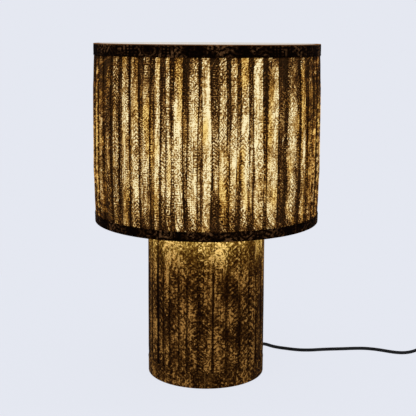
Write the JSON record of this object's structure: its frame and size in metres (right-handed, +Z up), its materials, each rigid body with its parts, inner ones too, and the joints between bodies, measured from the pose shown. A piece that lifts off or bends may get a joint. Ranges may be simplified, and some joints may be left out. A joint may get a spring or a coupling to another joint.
{
  "type": "table lamp",
  "caption": "Drum shade over a drum base, both covered in pleated printed cloth, with a screw bulb, a lead with an in-line rocker switch, and a two-pin plug.",
  "frame": {"origin": "middle of the foot pad's underside, on the table", "axes": "+Z up along the lamp's axis, front towards -Y, lead leaving towards +X and +Y"},
  "size_m": [0.6282, 0.3025, 0.45],
  "materials": {
    "shade_cloth": "printed pleated cloth",
    "base_cloth": "printed pleated cloth",
    "binding_cloth": "dark cloth binding",
    "liner_film": "cream shade liner",
    "frame_wire": "white powder coat",
    "board": "raw board",
    "felt": "felt",
    "weight_iron": "rough",
    "zinc_steel": "zinc plated",
    "holder_plastic": "black thermoplastic",
    "insert_white": "glazed",
    "brass": "plain",
    "bulb_opal": "etched warm glass",
    "clear_glass": "clear",
    "bulb_metal": "bright",
    "solder": "solder",
    "bulb_black_glass": "vitrite",
    "filament": "phosphor coated rods",
    "lead_black": "black sheath",
    "core_brown": "brown insulation",
    "core_blue": "blue insulation",
    "switch_black": "black satin",
    "rocker_black": "black satin",
    "tie_black": "woven strap",
    "nickel": "nickel plated"
  },
  "bodies": {
    "lamp": {"shade_cover": "shade_cloth", "base_cover": "base_cloth", "base_hem": "base_cloth", "base_cap_band": "base_cloth", "shade_top_binding": "binding_cloth", "shade_bottom_binding": "binding_cloth", "shade_liner": "liner_film", "shade_hub": "frame_wire", "shade_arms": "frame_wire", "shade_bottom_wire": "frame_wire", "shade_top_wire": "frame_wire", "base_floor": "board", "base_tube": "board", "base_lid": "board", "foot_pad": "felt", "base_weight": "weight_iron", "weight_bolt": "zinc_steel", "weight_washer": "zinc_steel", "weight_nut": "zinc_steel", "nipple": "zinc_steel", "nipple_nut": "zinc_steel", "nipple_washers": "zinc_steel", "terminal_screws": "zinc_steel", "rocker_pin": "zinc_steel", "switch_screws": "zinc_steel", "holder_cap": "holder_plastic", "holder_shell": "holder_plastic", "shade_rings": "holder_plastic", "holder_insert": "insert_white", "screw_shell": "brass", "centre_contact": "brass", "terminals": "brass", "switch_contacts": "brass", "lead_sleeve": "lead_black", "inner_lead": "lead_black", "lead_run": "lead_black", "switch_lead": "lead_black", "lead_link": "lead_black", "lead_coil": "lead_black", "lead_tail": "lead_black", "live_core": "core_brown", "neutral_core": "core_blue", "switch_base": "switch_black", "switch_cover": "switch_black", "plug_body": "switch_black", "pin_sleeves": "switch_black", "coil_tie": "tie_black", "plug_pins": "nickel"},
    "bulb": {"bulb_glass": "bulb_opal", "bulb_cap": "bulb_metal", "bulb_insulator": "bulb_black_glass", "bulb_tip": "solder", "bulb_stem": "clear_glass", "bulb_filaments": "filament"},
    "rocker": {"switch_rocker": "rocker_black"}
  },
  "joints": [
    {"name": "bulb_unscrew", "type": "slide", "parent": "lamp", "child": "bulb", "axis": [0, 0, 1], "range_m": [0, 0.018]},
    {"name": "rocker_tilt", "type": "hinge", "parent": "lamp", "child": "rocker", "pos_m": [0.35919, 0.08988, 0.013], "axis": [-0.4226, 0.9063, 0], "range_deg": [-16, 0]}
  ]
}
